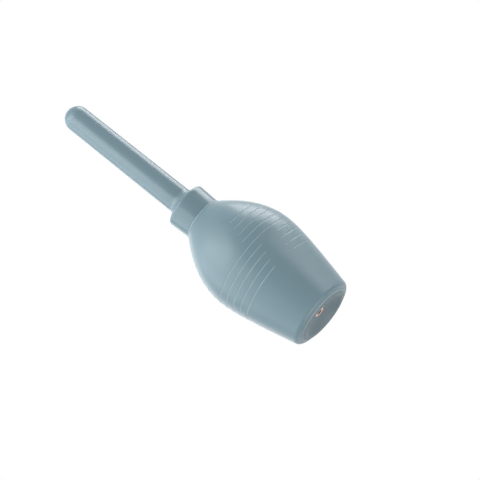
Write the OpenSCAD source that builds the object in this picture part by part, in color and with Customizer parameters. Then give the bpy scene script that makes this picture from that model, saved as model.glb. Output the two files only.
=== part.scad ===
// Hand-held squeeze-bulb douche: a soft bulb, a screw collar that clamps the nozzle on a threaded
// bush in the bulb's neck, and a spring-loaded air inlet in a plug that closes the base.
// It stands on the plug's rim with the nozzle up. The axis is Z, and all sizes are millimetres.

/* [Bulb] */
// Height of the bulb from its bottom edge to the lip under the collar
bulb_h = 101; // [97:0.5:110]
// Radius at the widest place
bulb_r = 34.5; // [33:0.25:38]
// Height of the widest place
bulb_widest_z = 57; // [52:0.5:60]
// Radius of the side where it meets the rounded bottom edge
bulb_base_r = 25.2; // [24.8:0.1:27]
// Radius of the lip under the collar
bulb_lip_r = 14.2; // [14:0.1:15]
// Thickness of the soft wall
bulb_wall = 2.6; // [2.2:0.1:3]
// Radius of the rounded bottom edge
bulb_edge_r = 3; // [2.4:0.1:3.2]
// Softness of the bend between the widest place and the straight lower side
bulb_bend = 0.3; // [0.2:0.05:0.6]

/* [Grip lines] */
// Height of the one line that runs all the way round
grip_mid_z = 56.2; // [54:0.2:60]
// Spacing of the lines
grip_pitch = 5.17; // [3.5:0.01:5.4]
// Short lines above the full one
grip_above = 4; // [1:1:4]
// Broken lines below the full one
grip_below = 4; // [1:1:4]
// Depth of a line
grip_depth = 0.35; // [0.2:0.05:0.6]
// Radius of the cutter's round nose
grip_nose_r = 0.55; // [0.4:0.05:0.8]
// Arc that a short line covers, in degrees
grip_above_arc = 100; // [60:5:140]
// Plain gap in a broken line, in degrees
grip_gap_arc = 24; // [10:1:60]

/* [Neck] */
// Outer radius of the bush where the soft lip grips it
bush_neck_r = 12.6; // [12.2:0.1:12.8]
// Outer radius of the bush's thread
thread_r = 13.3; // [13.1:0.05:13.4]
// Depth of the thread, which the nozzle's flange has to pass
thread_depth = 0.65; // [0.5:0.05:0.7]
// Length of thread that the collar turns on
thread_len = 9.3; // [7:0.1:11]
// Radius of the bush's bore
bush_bore_r = 9; // [8.6:0.1:9.6]
// Radius of the bush's snap flange
bush_flange_r = 14.4; // [13.8:0.1:14.8]
// Thickness of the snap flange
bush_flange_t = 2.4; // [1.8:0.1:3]
// Thickness of the soft lip over the flange
lip_t = 3.6; // [3:0.1:4.4]
// Thickness of the soft cuff under the flange
cuff_t = 2.5; // [2:0.1:3.5]
// Bore radius of the cuff
cuff_r = 11.5; // [10.5:0.1:12.5]
// Keys that stop the bush from turning
bush_keys = 4; // [2:1:6]
// Width of a key
key_w = 3; // [2:0.1:4]
// Depth of a key
key_d = 1; // [0.6:0.1:1.4]
// Thickness of the flat seal on the bush
gasket_t = 1.5; // [1:0.1:2]

/* [Collar] */
// Outer radius of the collar at its front
collar_r = 15.4; // [15:0.05:16]
// Outer radius of the collar at its rear end, to which it tapers
collar_rear_r = 14.8; // [14.5:0.05:15.3]
// Thickness of the shoulder that holds the nozzle
shoulder_t = 2.4; // [2:0.1:3.2]
// Radius of the rounded front edge
collar_round = 1.9; // [1:0.1:2]
// Radius of the small rear edge
collar_rear_round = 0.3; // [0.2:0.1:1]

/* [Nozzle] */
// Length of the nozzle in front of the collar
nozzle_len = 100; // [80:1:130]
// Radius at the root, above the flare
root_r = 8.95; // [8.6:0.05:9.6]
// Radius of the round tip
tip_r = 8.6; // [8.3:0.05:9]
// Radius of the flare's foot where it enters the collar
foot_r = 11.85; // [11.2:0.05:11.9]
// Length of the flare
flare_len = 5.8; // [4.5:0.1:9]
// Thickness of the clamped flange
nozzle_flange_t = 2; // [1.6:0.1:2.6]
// Length of the pilot that centres the nozzle in the bush
pilot_len = 6.8; // [4:0.1:8.5]
// Radius of the water channel
channel_r = 6.2; // [5:0.1:6.6]
// Radius of the outlet in the tip
outlet_r = 1.8; // [1.2:0.1:2.6]

/* [Base plug] */
// Width of the flat ring at the bulb's bottom edge, round the plug
base_ring_w = 1; // [0.6:0.05:1.6]
// Reach of the plug's snap flange beyond its disc
plug_flange_reach = 1.6; // [1.2:0.05:1.8]
// Thickness of the snap flange
plug_flange_t = 2.05; // [1.6:0.05:2.6]
// Width of the fine gap round the disc
plug_gap = 0.25; // [0.1:0.05:0.5]
// Height by which the plug's rim stands proud of the bulb's bottom edge
plug_proud = 1.5; // [1:0.1:2]
// Radius of the plug's rounded rim
rim_r = 2.6; // [2:0.1:2.8]
// Width of the flat on the rim that the object stands on
rim_flat_w = 0.8; // [0.5:0.1:1.5]
// Height of the dish's flat middle above the bulb's bottom edge
dish_depth = 3.2; // [2.5:0.1:3.6]
// Width of the flat margin round the valve in the middle of the dish
dish_margin = 1; // [0.6:0.1:3]
// Thickness of the plug behind the dish
plug_floor_t = 2.6; // [2:0.1:3.4]
// Height at which the snap flange starts
plug_step_z = 2.25; // [2:0.05:2.6]
// Thickness of the bulb's soft lip over the flange
plug_lip_t = 2.65; // [2:0.05:3.4]
// Overlap of that lip on the flange
plug_lip_overlap = 2.9; // [2:0.1:3]

/* [Inlet valve] */
// Radius of the flange that shows in the dish
valve_flange_r = 4; // [3.9:0.1:5]
// Thickness of that flange
valve_flange_t = 0.9; // [0.7:0.1:1.4]
// Radius of the shank
shank_r = 3.5; // [3.2:0.05:3.7]
// Radius of the inlet hole
inlet_r = 1.3; // [0.8:0.1:1.4]
// Depth of the countersink round the inlet hole
inlet_sink = 0.6; // [0.3:0.05:0.8]
// Length of the inlet hole
inlet_len = 2.7; // [2:0.1:4]
// Radius of the ball's chamber
chamber_r = 2.6; // [2.5:0.05:2.75]
// Thickness of the soft seat
seat_t = 1.2; // [0.8:0.1:1.6]
// Radius of the opening in the seat
seat_hole_r = 1.5; // [1.3:0.05:1.7]
// Radius of the ball
ball_r = 2.1; // [2:0.05:2.3]
// Lift of the ball when air comes in
ball_lift = 1.2; // [0.6:0.1:1.3]
// Mean radius of the spring
spring_r = 1.45; // [1.2:0.05:1.7]
// Radius of the spring's wire
wire_r = 0.2; // [0.12:0.01:0.22]
// Coils of the spring
spring_coils = 4.5; // [3.5:0.25:5]
// Play that is left in the spring when the ball is lifted
spring_play = 0.2; // [0.1:0.05:0.6]
// Thickness of the cap that holds the spring
cap_t = 1.2; // [0.8:0.1:2]
// Radius of the air hole in the cap
cap_hole_r = 1; // [0.6:0.05:1.2]
// Depth of the cap below the end of the shank
cap_depth = 0.8; // [0.4:0.1:1.5]
// Thickness of the sealing washer
washer_t = 0.8; // [0.5:0.1:1.2]
// Outer radius of the sealing washer
washer_r = 5.4; // [4.8:0.1:7]
// Width of the nut across its flats
nut_af = 9.6; // [9:0.1:12]
// Thickness of the nut
nut_t = 2.4; // [1.8:0.1:3]

/* [Clearances] */
// Radial clearance of pieces that are fitted and stay put
fit = 0.05; // [0.02:0.01:0.1]
// Radial clearance of pieces that turn or slide in each other
run = 0.1; // [0.05:0.01:0.1]
// Gap between flat faces that part when the collar is unscrewed
face_gap = 0.05; // [0.02:0.01:0.1]
// Gap between the collar and the bulb's lip
lip_gap = 0.1; // [0.1:0.05:0.6]

/* [Hidden] */
$fn = 96;

// Steps in the bulb's outline, and in a quarter of a rounded edge
side_steps = 30;
round_steps = 6;
// Length over which the slope of the bulb's side is measured
slope_step = 0.02;
// Direction of the pattern's front, seen from above
front_angle = 270;
// Where a short line starts from the front, and how much later each line further up starts
above_start = 5;
above_slant = 3.5;
// Where the plain gap starts from the front, and how much earlier each line further down has it
gap_start = 20;
gap_slant = 3.3;

// Heights are from the bulb's bottom edge. In the neck they go from the bulb's lip upwards
flange_top_z = bulb_h - lip_t;
flange_bottom_z = flange_top_z - bush_flange_t;
cuff_bottom_z = flange_bottom_z - cuff_t;
collar_z = bulb_h + lip_gap;
bush_top_z = collar_z + thread_len;
gasket_z = bush_top_z + face_gap;
nozzle_flange_z = gasket_z + gasket_t;
ceiling_z = nozzle_flange_z + nozzle_flange_t + face_gap;
front_z = ceiling_z + shoulder_t;

// Radii that fit in or over each other in the neck
collar_bore_r = thread_r + run;
pilot_r = bush_bore_r - run;
nozzle_flange_r = thread_r - thread_depth - run;
collar_mouth_r = foot_r + run;
lip_bore_r = bush_neck_r + fit;
thread_z = bulb_h + face_gap;
lip_round = 0.5;
thread_chamfer = 0.6;
outlet_chamfer = 0.4;

// Nozzle heights
flare_top_z = front_z + flare_len;
tip_z = front_z + nozzle_len;
tip_centre_z = tip_z - tip_r;

// The bottom edge turns from the flat ring into the leaning side without a kink
edge_lean = atan(side_slope(bulb_edge_r));
edge_top_z = bulb_edge_r * (1 - sin(edge_lean));
edge_centre_r = side_r(edge_top_z) - bulb_edge_r * cos(edge_lean);

// Base plug heights and radii
plug_r = edge_centre_r - base_ring_w - plug_gap;
plug_flange_r = plug_r + plug_flange_reach;
plug_flange_top_z = plug_step_z + plug_flange_t;
plug_lip_r = plug_flange_r - plug_lip_overlap;
plug_neck_r = plug_lip_r - fit;
cavity_floor_z = plug_flange_top_z + fit + plug_lip_t;
plug_top_z = dish_depth + plug_floor_t;
rim_centre_r = plug_r - rim_r;
rim_centre_z = rim_r - plug_proud;
dish_land_r = valve_flange_r + dish_margin;

// The bowl's curve is tangent to the flat middle and to the rim's inner side
bowl_reach = rim_centre_r - rim_flat_w - dish_land_r;
bowl_turn = 2 * atan((dish_depth + plug_proud) / bowl_reach);
bowl_r = bowl_reach / sin(bowl_turn) - rim_r;

// Valve heights
valve_z = dish_depth - valve_flange_t;
seat_z = valve_z + inlet_len;
seat_top_z = seat_z + seat_t;
ball_z = seat_top_z + sqrt(ball_r * ball_r - seat_hole_r * seat_hole_r) + face_gap;
wire_reach = ball_r + wire_r + face_gap;
spring_h = 2 * wire_r * spring_coils + ball_lift + spring_play;
spring_bottom_z = ball_z + sqrt(wire_reach * wire_reach - spring_r * spring_r);
spring_top_z = spring_bottom_z + spring_h;
cap_z = spring_top_z + wire_r + face_gap;
shank_top_z = cap_z + cap_t + cap_depth;
washer_z = plug_top_z;
nut_z = washer_z + washer_t;
flange_edge_round = 0.7;
slot_w = 0.7;
slot_d = 0.5;
nut_bevel = 0.7;

// Points along a circular arc from angle a0 to a1
function arc(cx, cy, r, a0, a1, n = round_steps) =
    [for (i = [0:n]) let (a = a0 + (a1 - a0) * i / n) [cx + r * cos(a), cy + r * sin(a)]];

// Share of the drop from the widest place to the base: flat at first, then nearly straight
function lower_share(s) =
    (sqrt(bulb_bend * bulb_bend + s * s) - bulb_bend) / (sqrt(bulb_bend * bulb_bend + 1) - bulb_bend);

// Outer radius of the bulb at height z: a parabola above the widest place, a soft cone below it
function side_r(z) = z >= bulb_widest_z
    ? bulb_r - (bulb_r - bulb_lip_r) * pow((z - bulb_widest_z) / (bulb_h - bulb_widest_z), 2)
    : bulb_r - (bulb_r - bulb_base_r) * lower_share((bulb_widest_z - z) / (bulb_widest_z - bulb_edge_r));

// Slope of the side, and the inner radius one wall thickness inside it
function side_slope(z) = (side_r(z + slope_step) - side_r(z - slope_step)) / (2 * slope_step);
function inner_r(z) = side_r(z) - bulb_wall * sqrt(1 + pow(side_slope(z), 2));

// One engraved line: a round-nosed cut that follows the side, from angle start over sweep
module grip_line(z, start, sweep) {
    rotate([0, 0, start])
        rotate_extrude(angle = sweep)
            translate([side_r(z) + grip_nose_r - grip_depth, z])
                circle(grip_nose_r, $fn = 24);
}

// All the lines, in two like halves: short ones above, one full ring, broken ones below
module grip_lines() {
    grip_line(grip_mid_z, 0, 360);
    for (half = [0, 180]) {
        for (row = [1:grip_above])
            grip_line(grip_mid_z + row * grip_pitch,
                front_angle + half + above_start + above_slant * (row - 1),
                grip_above_arc);
        for (row = [1:grip_below])
            grip_line(grip_mid_z - row * grip_pitch,
                front_angle + half + gap_start + grip_gap_arc - gap_slant * (row - 1),
                180 - grip_gap_arc);
    }
}

// Outline of the soft shell: the side, the lip, the bush's pocket, the cavity and the plug's pocket
module bulb_outline() {
    outer = [for (i = [0:side_steps])
        let (z = edge_top_z + (bulb_h - lip_round - edge_top_z) * i / side_steps) [side_r(z), z]];
    cavity = [for (i = [0:side_steps])
        let (z = cuff_bottom_z + (cavity_floor_z - cuff_bottom_z) * i / side_steps) [inner_r(z), z]];
    lip_edge_r = side_r(bulb_h - lip_round) - lip_round;
    polygon(concat(
        [[plug_r + plug_gap, 0]],
        arc(edge_centre_r, bulb_edge_r, bulb_edge_r, -90, -edge_lean),
        [for (i = [1:side_steps]) outer[i]],
        [[lip_edge_r, bulb_h], [lip_bore_r, bulb_h], [lip_bore_r, flange_top_z + fit],
            [bush_flange_r + fit, flange_top_z + fit], [bush_flange_r + fit, flange_bottom_z - fit],
            [cuff_r, flange_bottom_z - fit], [cuff_r, cuff_bottom_z]],
        cavity,
        [[plug_lip_r, cavity_floor_z], [plug_lip_r, plug_flange_top_z + fit],
            [plug_flange_r + fit, plug_flange_top_z + fit], [plug_flange_r + fit, plug_step_z - fit],
            [plug_r + plug_gap, plug_step_z - fit]]));
}

// A block on the neck's pocket wall that reaches key_d into the flange, wide as asked
module key_block(width, reach, z0, z1) {
    for (i = [0:bush_keys - 1])
        rotate([0, 0, i * 360 / bush_keys])
            translate([bush_flange_r - reach, -width / 2, z0])
                cube([reach + 2 * fit, width, z1 - z0]);
}

// Soft moulded shell, open at the neck and at the base
module bulb() {
    color([0.46, 0.57, 0.61]) {
        difference() {
            rotate_extrude() bulb_outline();
            grip_lines();
        }
        key_block(key_w, key_d, flange_bottom_z - 2 * fit, flange_top_z + 2 * fit);
    }
}

// Disc with a shallow bowl in a rounded rim, which snaps into the bulb's base and carries the valve
module base_plug() {
    color([0.43, 0.47, 0.48])
        rotate_extrude()
            polygon(concat(
                [[shank_r + fit, plug_top_z], [shank_r + fit, dish_depth]],
                arc(dish_land_r, dish_depth - bowl_r, bowl_r, 90, 90 - bowl_turn, 2 * round_steps),
                arc(rim_centre_r - rim_flat_w, rim_centre_z, rim_r,
                    -90 - bowl_turn * (1 - 1 / round_steps), -90, round_steps - 1),
                arc(rim_centre_r, rim_centre_z, rim_r, -90, 0),
                [[plug_r, plug_step_z], [plug_flange_r, plug_step_z],
                    [plug_flange_r, plug_flange_top_z], [plug_neck_r, plug_flange_top_z],
                    [plug_neck_r, plug_top_z]]));
}

// Hard bush with a keyed snap flange in the neck and a thread above the lip
module neck_bush() {
    color([0.82, 0.83, 0.82])
        difference() {
            rotate_extrude()
                polygon([
                    [bush_bore_r, flange_bottom_z], [bush_flange_r, flange_bottom_z],
                    [bush_flange_r, flange_top_z], [bush_neck_r, flange_top_z],
                    [bush_neck_r, thread_z], [thread_r, thread_z],
                    [thread_r, bush_top_z - thread_chamfer], [thread_r - thread_chamfer, bush_top_z],
                    [bush_bore_r, bush_top_z]]);
            key_block(key_w + 2 * fit, key_d + fit, flange_bottom_z - 1, flange_top_z);
        }
}

// Flat seal round the pilot, between the bush and the nozzle's flange
module nozzle_gasket() {
    color([0.2, 0.22, 0.23])
        translate([0, 0, gasket_z])
            difference() {
                cylinder(r = nozzle_flange_r - run, h = gasket_t);
                translate([0, 0, -1]) cylinder(r = pilot_r + fit, h = gasket_t + 2);
            }
}

// Hollow round-ended tube with a pilot, a clamped flange and a flared root
module nozzle() {
    flare_rise = foot_r - root_r;
    flare_r = (flare_len * flare_len + flare_rise * flare_rise) / (2 * flare_rise);
    flare_turn = asin(flare_len / flare_r);
    wall = tip_r - channel_r;
    outlet_angle = acos(outlet_r / channel_r);
    mouth_r = outlet_r + outlet_chamfer;
    mouth_angle = acos(mouth_r / tip_r);
    color([0.50, 0.60, 0.64])
        rotate_extrude()
            polygon(concat(
                [[channel_r, nozzle_flange_z - pilot_len],
                    [pilot_r - lip_round, nozzle_flange_z - pilot_len],
                    [pilot_r, nozzle_flange_z - pilot_len + lip_round],
                    [pilot_r, nozzle_flange_z], [nozzle_flange_r, nozzle_flange_z],
                    [nozzle_flange_r, ceiling_z - face_gap], [foot_r, ceiling_z - face_gap]],
                arc(root_r + flare_r, flare_top_z, flare_r, 180 + flare_turn, 180, 2 * round_steps),
                arc(0, tip_centre_z, tip_r, 0, mouth_angle, 3 * round_steps),
                [[outlet_r, tip_centre_z + tip_r * sin(mouth_angle) - outlet_chamfer]],
                arc(0, tip_centre_z, tip_r - wall, outlet_angle, 0, 2 * round_steps)));
}

// Screw ring that holds the nozzle's flange down on the bush. Its side touches both rounded edges
module collar() {
    taper_x = collar_r - collar_round - collar_rear_r + collar_rear_round;
    taper_z = front_z - collar_round - collar_z - collar_rear_round;
    lean = atan2(taper_x, taper_z)
        + asin((collar_round - collar_rear_round) / norm([taper_x, taper_z]));
    color([0.46, 0.56, 0.60])
        rotate_extrude()
            polygon(concat(
                [[collar_bore_r, collar_z]],
                arc(collar_rear_r - collar_rear_round, collar_z + collar_rear_round,
                    collar_rear_round, -90, -lean, 3),
                arc(collar_r - collar_round, front_z - collar_round, collar_round, -lean, 90),
                [[collar_mouth_r, front_z], [collar_mouth_r, ceiling_z],
                    [collar_bore_r, ceiling_z]]));
}

// Metal body of the inlet valve: flange in the dish, inlet hole, ball chamber and threaded shank
module valve_body() {
    color([0.80, 0.55, 0.46])
        rotate_extrude()
            polygon(concat(
                [[inlet_r, valve_z + inlet_sink], [inlet_r + inlet_sink, valve_z]],
                arc(valve_flange_r - flange_edge_round, valve_z + flange_edge_round,
                    flange_edge_round, -90, 0, 3),
                [[valve_flange_r, dish_depth], [shank_r, dish_depth], [shank_r, shank_top_z],
                    [chamber_r, shank_top_z], [chamber_r, seat_z], [inlet_r, seat_z]]));
}

// Soft washer that seals the shank on the plug's inner face
module valve_washer() {
    color([0.16, 0.17, 0.18])
        translate([0, 0, washer_z])
            difference() {
                cylinder(r = washer_r, h = washer_t);
                translate([0, 0, -1]) cylinder(r = shank_r + fit, h = washer_t + 2);
            }
}

// Bevelled hexagon nut on the shank
module valve_nut() {
    nut_corner_r = nut_af / sqrt(3);
    color([0.80, 0.62, 0.42])
        translate([0, 0, nut_z])
            difference() {
                intersection() {
                    cylinder(r = nut_corner_r, h = nut_t, $fn = 6);
                    rotate_extrude()
                        polygon([[0, 0], [nut_corner_r, 0], [nut_corner_r, nut_t - nut_bevel],
                            [nut_af / 2 - nut_bevel / 2, nut_t], [0, nut_t]]);
                }
                translate([0, 0, -1]) cylinder(r = shank_r + fit, h = nut_t + 2);
            }
}

// Soft seat ring that the ball closes
module valve_seat() {
    color([0.16, 0.17, 0.18])
        translate([0, 0, seat_z])
            difference() {
                cylinder(r = chamber_r - fit, h = seat_t);
                translate([0, 0, -1]) cylinder(r = seat_hole_r, h = seat_t + 2);
            }
}

// Ball that lets air in and keeps water and pressure from going out
module valve_ball() {
    color([0.78, 0.79, 0.80])
        translate([0, 0, ball_z]) sphere(r = ball_r);
}

// Height of the spring's wire after t coils: the end coils lie close, the middle ones are open
end_coils = 0.75;
end_pitch = 2.2 * wire_r;
function wire_z(t) = t < end_coils ? t * end_pitch
    : t > spring_coils - end_coils ? spring_h - (spring_coils - t) * end_pitch
    : end_coils * end_pitch + (t - end_coils)
        * (spring_h - 2 * end_coils * end_pitch) / (spring_coils - 2 * end_coils);

// Return spring: one unbroken tube swept along the coil
module valve_spring() {
    sides = 6;
    rings = round(16 * spring_coils);
    points = [for (i = [0:rings]) let (t = spring_coils * i / rings, a = 360 * t)
        for (k = [0:sides - 1]) let (b = 360 * k / sides, r = spring_r + wire_r * cos(b))
            [r * cos(a), r * sin(a), spring_bottom_z + wire_z(t) + wire_r * sin(b)]];
    sides_faces = [for (i = [0:rings - 1]) for (k = [0:sides - 1])
        let (p = i * sides + k, q = i * sides + (k + 1) % sides)
            for (f = [[p, q + sides, q], [p, p + sides, q + sides]]) f];
    start_face = [[for (k = [0:sides - 1]) k]];
    end_face = [[for (k = [0:sides - 1]) rings * sides + sides - 1 - k]];
    color([0.72, 0.73, 0.74])
        polyhedron(points = points, faces = concat(sides_faces, start_face, end_face));
}

// Slotted cap that screws into the shank, holds the spring and lets the air through
module valve_cap() {
    color([0.80, 0.62, 0.42])
        translate([0, 0, cap_z])
            difference() {
                cylinder(r = chamber_r - fit, h = cap_t);
                translate([0, 0, -1]) cylinder(r = cap_hole_r, h = cap_t + 2);
                translate([-chamber_r, -slot_w / 2, cap_t - slot_d])
                    cube([2 * chamber_r, slot_w, slot_d + 1]);
            }
}

// The object stands on the plug's rim, so all of it is lifted by how far the rim stands proud
module lifted() {
    translate([0, 0, plug_proud]) children();
}

lifted() bulb();
lifted() base_plug();
lifted() neck_bush();
lifted() nozzle_gasket();
lifted() nozzle();
lifted() collar();
lifted() valve_body();
lifted() valve_washer();
lifted() valve_nut();
lifted() valve_seat();
lifted() valve_ball();
lifted() valve_spring();
lifted() valve_cap();
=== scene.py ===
"""Looks of a squeeze-bulb douche: its moulded surfaces, threads, finishes, stage and camera.

Sizes are in metres. The object stands on the rim of its base plug, its axis is Z and its nozzle
points up. Heights of the bulb and of the plug are counted from the bulb's bottom edge.
"""

import bmesh
import bpy
import numpy as np
from bpy.props import FloatProperty, FloatVectorProperty, IntProperty, PointerProperty
from bpy.types import Operator, Panel, PropertyGroup
from mathutils import Matrix, Vector


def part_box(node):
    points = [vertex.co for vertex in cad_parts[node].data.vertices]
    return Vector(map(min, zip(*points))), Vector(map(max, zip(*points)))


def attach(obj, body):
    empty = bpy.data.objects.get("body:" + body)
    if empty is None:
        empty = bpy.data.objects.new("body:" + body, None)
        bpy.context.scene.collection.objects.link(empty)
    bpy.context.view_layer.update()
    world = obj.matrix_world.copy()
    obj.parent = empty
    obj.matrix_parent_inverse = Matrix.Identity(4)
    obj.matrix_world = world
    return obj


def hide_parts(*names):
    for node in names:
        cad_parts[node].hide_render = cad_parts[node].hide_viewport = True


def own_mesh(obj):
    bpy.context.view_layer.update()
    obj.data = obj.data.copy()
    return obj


bl_info = {
    "name": "Squeeze-bulb douche",
    "version": (1, 0, 0),
    "blender": (4, 5, 0),
    "location": "3D View > Sidebar > Douche",
    "description": "Builds the moulded pieces of a squeeze-bulb douche round its frame",
    "category": "Object",
}

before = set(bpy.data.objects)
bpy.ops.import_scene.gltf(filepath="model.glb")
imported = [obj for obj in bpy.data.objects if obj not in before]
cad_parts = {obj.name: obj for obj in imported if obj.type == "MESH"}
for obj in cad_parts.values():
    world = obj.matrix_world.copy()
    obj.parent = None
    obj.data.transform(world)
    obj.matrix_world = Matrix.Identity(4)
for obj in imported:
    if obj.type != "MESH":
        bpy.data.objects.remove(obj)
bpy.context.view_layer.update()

MM = 0.001
SNAP = 1.6 * MM  # how far the base plug's snap flange stands out from the plug
FIT = 0.05 * MM  # clearance between pieces that are snapped or screwed into each other

EDGE_Z, LIP_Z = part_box("bulb")[0].z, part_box("bulb")[1].z
BULB_H = LIP_Z - EDGE_Z
THREAD_Z = LIP_Z + FIT
COLLAR_Z, COLLAR_FRONT_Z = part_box("collar")[0].z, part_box("collar")[1].z
BUSH_Z, BUSH_TOP_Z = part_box("neck_bush")[0].z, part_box("neck_bush")[1].z
NOZZLE_Z, NOZZLE_TIP_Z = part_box("nozzle")[0].z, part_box("nozzle")[1].z
GASKET_TOP_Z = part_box("nozzle_gasket")[1].z
PLUG_R, PLUG_TOP_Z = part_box("base_plug")[1].x - SNAP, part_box("base_plug")[1].z
VALVE_Z, VALVE_TOP_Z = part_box("valve_body")[0].z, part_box("valve_body")[1].z
SPRING_Z, SPRING_TOP_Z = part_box("valve_spring")[0].z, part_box("valve_spring")[1].z


def linear(text):
    """Linear colour of an sRGB hex value.

    Each channel c becomes c / 12.92 near black, and else ((c + 0.055) / 1.055) ** 2.4.
    """
    value = np.array([int(text[i:i + 2], 16) for i in (1, 3, 5)]) / 255
    return tuple(np.where(value <= 0.04045, value / 12.92, ((value + 0.055) / 1.055) ** 2.4))


def length(label, description, default):
    """A length property in metres."""
    return FloatProperty(name=label, description=description, default=default, unit="LENGTH",
                         precision=5)


def colour(label, description, text):
    """A colour property from an sRGB hex value."""
    return FloatVectorProperty(name=label, description=description, default=linear(text),
                               subtype="COLOR", size=3, min=0, max=1)


def degrees(label, description, default):
    """An angle property whose default is given in degrees."""
    return FloatProperty(name=label, description=description, default=np.radians(default),
                         subtype="ANGLE")


def power(label, description, default):
    """The power of a lamp in watts."""
    return FloatProperty(name=label, description=description, default=default, subtype="POWER")


class DoucheBulb(PropertyGroup):
    """Sizes of the soft bulb and of its engraved grip lines."""

    radius: length("Radius", "Radius at the widest place", 34.5 * MM)
    widest: length("Widest height", "Height of the widest place above the bottom edge", 57 * MM)
    base_radius: length("Base radius", "Radius where the side meets the rounded edge", 25.2 * MM)
    lip_radius: length("Lip radius", "Radius of the lip under the collar", 14.2 * MM)
    lip_band: length("Lip band", "Height of the straight band at the lip", 1 * MM)
    wall: length("Wall", "Thickness of the soft wall", 2.6 * MM)
    edge: length("Edge", "Radius of the rounded bottom edge", 3 * MM)
    bend: FloatProperty(name="Bend", description="Softness of the bend below the widest place",
                        default=0.3, min=0.05, max=1)
    line_pitch: length("Line pitch", "Spacing of the grip lines", 5.17 * MM)
    line_height: length("Full line", "Height of the line that runs all the way round", 56.2 * MM)
    line_rows: IntProperty(name="Rows", description="Lines above and below the full one",
                           default=4, min=1, max=5)
    line_depth: length("Line depth", "Depth of a grip line", 0.2 * MM)
    line_width: length("Line width", "Width of a grip line", 0.8 * MM)
    line_fade: degrees("Line fade", "Angle over which the end of a line runs out", 3)
    short_arc: degrees("Short lines", "Angle that a line above the full one covers", 100)
    short_start: degrees("Short start", "Start of the first line above the full one", 275)
    short_slant: degrees("Short slant", "Angle between the starts of lines above", 3.5)
    gap_arc: degrees("Gap", "Plain gap in a line below the full one", 24)
    gap_start: degrees("Gap start", "Start of the gap in the first line below", 290)
    gap_slant: degrees("Gap slant", "Angle between the gaps of lines below", 3.3)


class DouchePlug(PropertyGroup):
    """Sizes of the base plug."""

    rim: length("Rim", "Radius of the rounded rim", 2.6 * MM)
    stand: length("Stand", "Width of the flat ring that the object stands on", 0.8 * MM)
    middle: length("Middle", "Radius of the flat middle of the bowl", 5 * MM)
    dish: length("Dish", "Height of the bowl's middle", 3.2 * MM)
    hole: length("Hole", "Radius of the hole for the air inlet", 3.55 * MM)
    flange_low: length("Flange, low side", "Height of the snap flange's underside", 2.25 * MM)
    flange_high: length("Flange, high side", "Height of the snap flange's top", 4.3 * MM)
    wall: length("Wall", "Thickness of the ring above the flange", 1.35 * MM)


class DoucheNeck(PropertyGroup):
    """Sizes of the bulb's neck and of the bush in it. Depths are counted from the bulb's lip."""

    mouth: length("Mouth", "Radius of the neck's mouth", 12.65 * MM)
    pocket: length("Pocket", "Radius of the pocket for the bush's flange", 14.45 * MM)
    pocket_top: length("Pocket top", "Depth of the pocket's upper side", 3.55 * MM)
    pocket_floor: length("Pocket floor", "Depth of the pocket's lower side", 6.05 * MM)
    cuff: length("Cuff", "Radius of the passage into the bulb", 11.5 * MM)
    cuff_depth: length("Cuff depth", "Depth at which the passage opens into the bulb", 8.5 * MM)
    bore: length("Bore", "Radius of the bush's bore", 9 * MM)
    waist: length("Waist", "Radius of the bush in the neck's mouth", 12.6 * MM)
    flange: length("Flange", "Thickness of the bush's flange", 2.4 * MM)
    key_depth: length("Key depth", "Depth of the four key slots in the flange", 1.05 * MM)
    key_width: length("Key width", "Half the width of a key slot", 1.2 * MM)


class DoucheThread(PropertyGroup):
    """Sizes of the screw thread between the neck bush and the collar."""

    pitch: length("Pitch", "Rise of the thread in one turn", 2.5 * MM)
    depth: length("Depth", "Depth of the thread", 0.65 * MM)
    radius: length("Radius", "Outer radius of the bush's thread", 13.3 * MM)
    clearance: length("Clearance", "Gap between the two threads", 0.1 * MM)


class DoucheCollar(PropertyGroup):
    """Sizes of the screw collar."""

    rear: length("Rear radius", "Outer radius at the bulb", 14.79 * MM)
    front: length("Front radius", "Outer radius in front, before the edge is rounded",
                  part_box("collar")[1].x + 0.09 * MM)
    rounding: length("Rounding", "Radius of the rounded front edge", 1.9 * MM)
    mouth: length("Mouth", "Radius of the hole for the nozzle", 11.95 * MM)
    face: length("Face", "Thickness of the front wall", 2.4 * MM)


class DoucheNozzle(PropertyGroup):
    """Sizes of the hollow nozzle."""

    root: length("Root radius", "Radius above the flare", 8.95 * MM)
    tip: length("Tip radius", "Radius of the round tip", 8.6 * MM)
    foot: length("Foot radius", "Radius of the flare's foot in the collar", 11.85 * MM)
    flare: length("Flare", "Length of the flare", 5.8 * MM)
    flange: length("Flange radius", "Radius of the clamped flange", 12.55 * MM)
    pilot: length("Pilot radius", "Radius of the end that centres in the bush", 8.9 * MM)
    channel: length("Channel radius", "Radius of the water channel", 6.2 * MM)
    outlet: length("Outlet radius", "Radius of the outlet in the tip", 1.8 * MM)
    outlet_edge: length("Outlet edge", "Radius of the outlet's rounded edge", 0.4 * MM)


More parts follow.
